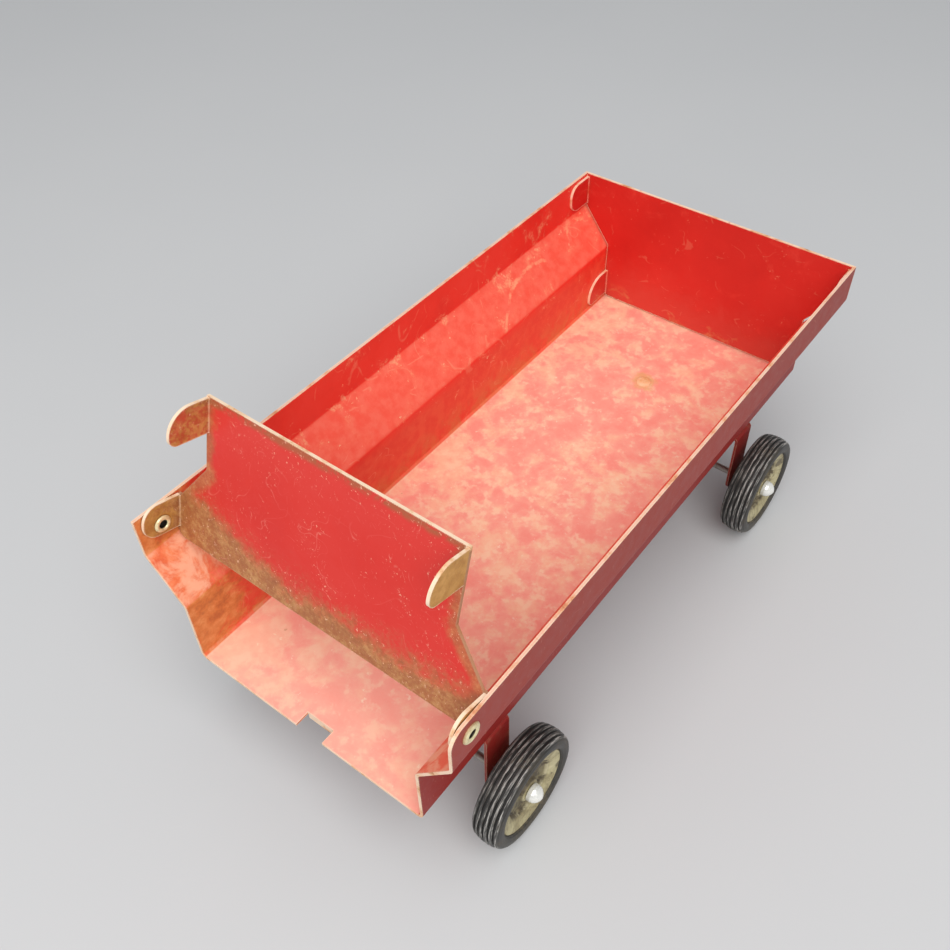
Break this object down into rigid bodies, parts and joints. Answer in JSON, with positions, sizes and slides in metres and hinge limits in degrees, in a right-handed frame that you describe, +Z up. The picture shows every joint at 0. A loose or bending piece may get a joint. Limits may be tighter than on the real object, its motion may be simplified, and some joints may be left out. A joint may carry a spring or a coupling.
{
  "type": "toy farm wagon",
  "caption": "Pressed-steel toy farm wagon: flared open cargo box with a swing-over tailgate, steering front axle, ribbed rubber wheels and a drooping hitch tongue.",
  "frame": {"origin": "on the ground under the middle of the whole wagon, tongue included", "axes": "+X forward towards the tongue, +Y to the wagon's left, +Z up"},
  "size_m": [0.2776, 0.116, 0.1297],
  "materials": {
    "red_paint": "worn enamel, faded to salmon on the floor",
    "wheel_paint": "worn dusty cream enamel",
    "tyre_rubber": "aged dusty rubber",
    "nickel_cap": "bright nickel",
    "axle_steel": "dull, slightly rusty",
    "eyelet_brass": "tarnished pale brass"
  },
  "bodies": {
    "box": {"box_body": "red_paint", "front_panel": "red_paint", "gate_eyelet_left": "eyelet_brass", "gate_eyelet_right": "eyelet_brass", "rear_bolster": "red_paint", "turn_washer": "axle_steel", "king_rivet": "axle_steel", "rear_axle": "axle_steel", "axle_cap_rear_left": "nickel_cap", "axle_cap_rear_right": "nickel_cap"},
    "tailgate": {"tailgate": "red_paint"},
    "front_gear": {"front_bolster": "red_paint", "front_axle": "axle_steel", "axle_cap_front_left": "nickel_cap", "axle_cap_front_right": "nickel_cap", "tongue_pin": "axle_steel"},
    "tongue": {"tongue": "red_paint"},
    "wheel_rear_left": {"tyre_rear_left": "tyre_rubber", "wheel_disc_rear_left": "wheel_paint"},
    "wheel_rear_right": {"tyre_rear_right": "tyre_rubber", "wheel_disc_rear_right": "wheel_paint"},
    "wheel_front_left": {"tyre_front_left": "tyre_rubber", "wheel_disc_front_left": "wheel_paint"},
    "wheel_front_right": {"tyre_front_right": "tyre_rubber", "wheel_disc_front_right": "wheel_paint"}
  },
  "joints": [
    {"name": "tailgate_hinge", "type": "hinge", "parent": "box", "child": "tailgate", "pos_m": [-0.13162, 0, 0.089], "axis": [0, 1, 0], "range_deg": [-196, 0]},
    {"name": "front_steer", "type": "hinge", "parent": "box", "child": "front_gear", "pos_m": [0.04318, 0, 0.0405], "axis": [0, 0, 1], "range_deg": [-40, 40]},
    {"name": "tongue_lift", "type": "hinge", "parent": "front_gear", "child": "tongue", "pos_m": [0.06218, 0, 0.024], "axis": [0, -1, 0], "range_deg": [-10, 40]},
    {"name": "wheel_rear_left_spin", "type": "hinge", "parent": "box", "child": "wheel_rear_left", "pos_m": [-0.10592, 0.0507, 0.01915], "axis": [0, 1, 0], "continuous": true},
    {"name": "wheel_rear_right_spin", "type": "hinge", "parent": "box", "child": "wheel_rear_right", "pos_m": [-0.10592, -0.0507, 0.01915], "axis": [0, 1, 0], "continuous": true},
    {"name": "wheel_front_left_spin", "type": "hinge", "parent": "front_gear", "child": "wheel_front_left", "pos_m": [0.04318, 0.0507, 0.01915], "axis": [0, 1, 0], "continuous": true},
    {"name": "wheel_front_right_spin", "type": "hinge", "parent": "front_gear", "child": "wheel_front_right", "pos_m": [0.04318, -0.0507, 0.01915], "axis": [0, 1, 0], "continuous": true}
  ]
}
